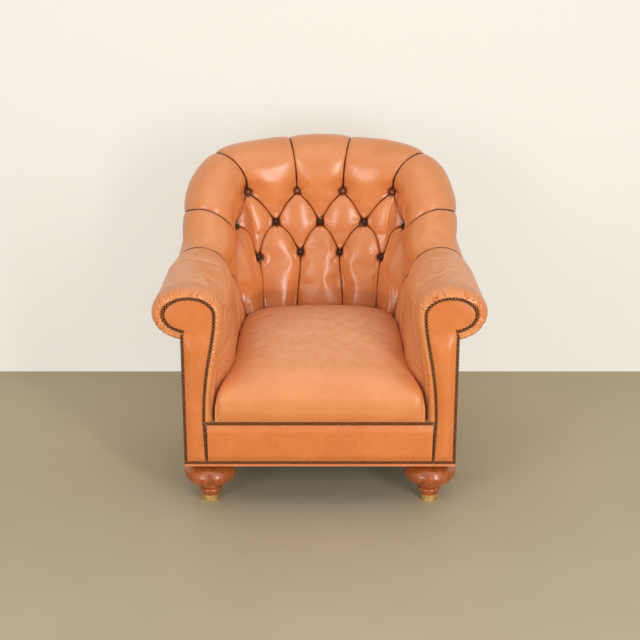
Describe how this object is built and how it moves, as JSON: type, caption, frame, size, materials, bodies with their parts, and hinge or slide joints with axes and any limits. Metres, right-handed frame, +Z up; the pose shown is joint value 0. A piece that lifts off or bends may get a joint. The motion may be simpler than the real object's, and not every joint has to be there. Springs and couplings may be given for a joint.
{
  "type": "tufted club chair",
  "caption": "Low tufted club chair with scroll arms, deep crowned seat, nailed front edges and bun feet with brass ferrules.",
  "frame": {"origin": "on the floor, at the middle of the chair's overall width and depth", "axes": "+Z up; the seat's open front faces -Y, the back is at +Y; +X is the right side as seen from the front"},
  "size_m": [0.9336, 0.8568, 0.9436],
  "materials": {
    "tan_leather": "orange tan pull-up leather, semi-gloss",
    "button_leather": "dark red-brown covered buttons, glossy",
    "antique_nails": "antique bronze domed heads",
    "polished_brass": "polished",
    "turned_wood": "red-brown stain under satin lacquer",
    "frame_timber": "sawn kiln-dried hardwood",
    "foam": "open-cell foam wrapped in wadding",
    "hessian": "woven jute",
    "webbing": "woven jute webbing",
    "dust_cloth": "black non-woven cloth",
    "zinc_steel": "zinc plated",
    "spring_steel": "plain drawn wire"
  },
  "bodies": {
    "root": {"front_rail": "frame_timber", "side_rail_left": "frame_timber", "side_rail_right": "frame_timber", "rear_rail": "frame_timber", "corner_blocks": "frame_timber", "corner_block_screws": "zinc_steel", "front_post_left": "frame_timber", "front_post_right": "frame_timber", "arm_rail_left": "frame_timber", "arm_rail_right": "frame_timber", "arm_tuck_rail_left": "frame_timber", "arm_tuck_rail_right": "frame_timber", "wing_post_left": "frame_timber", "wing_post_right": "frame_timber", "rear_post_left": "frame_timber", "rear_post_right": "frame_timber", "crest_rail": "frame_timber", "back_tuck_rail": "frame_timber", "seat_springs": "spring_steel", "spring_clips": "spring_steel", "seat_hessian": "hessian", "back_webbing": "webbing", "seat_foam": "foam", "back_foam": "foam", "arm_foam_left": "foam", "arm_foam_right": "foam", "seat_cover": "tan_leather", "back_cover": "tan_leather", "arm_cover_left": "tan_leather", "arm_cover_right": "tan_leather", "scroll_panel_left": "tan_leather", "scroll_panel_right": "tan_leather", "front_rail_cover": "tan_leather", "outside_arm_cover_left": "tan_leather", "outside_arm_cover_right": "tan_leather", "outside_back_cover": "tan_leather", "dust_cover": "dust_cloth", "tuft_buttons": "button_leather", "front_foot_left": "turned_wood", "front_foot_right": "turned_wood", "ferrule_left": "polished_brass", "ferrule_right": "polished_brass", "rear_leg_left": "turned_wood", "rear_leg_right": "turned_wood", "rear_glides": "zinc_steel", "foot_bolts": "zinc_steel", "scroll_nails_left": "antique_nails", "scroll_nails_right": "antique_nails", "post_nails_left": "antique_nails", "post_nails_right": "antique_nails", "front_rail_nails": "antique_nails", "base_nails": "antique_nails", "back_nails": "antique_nails"}
  },
  "joints": []
}
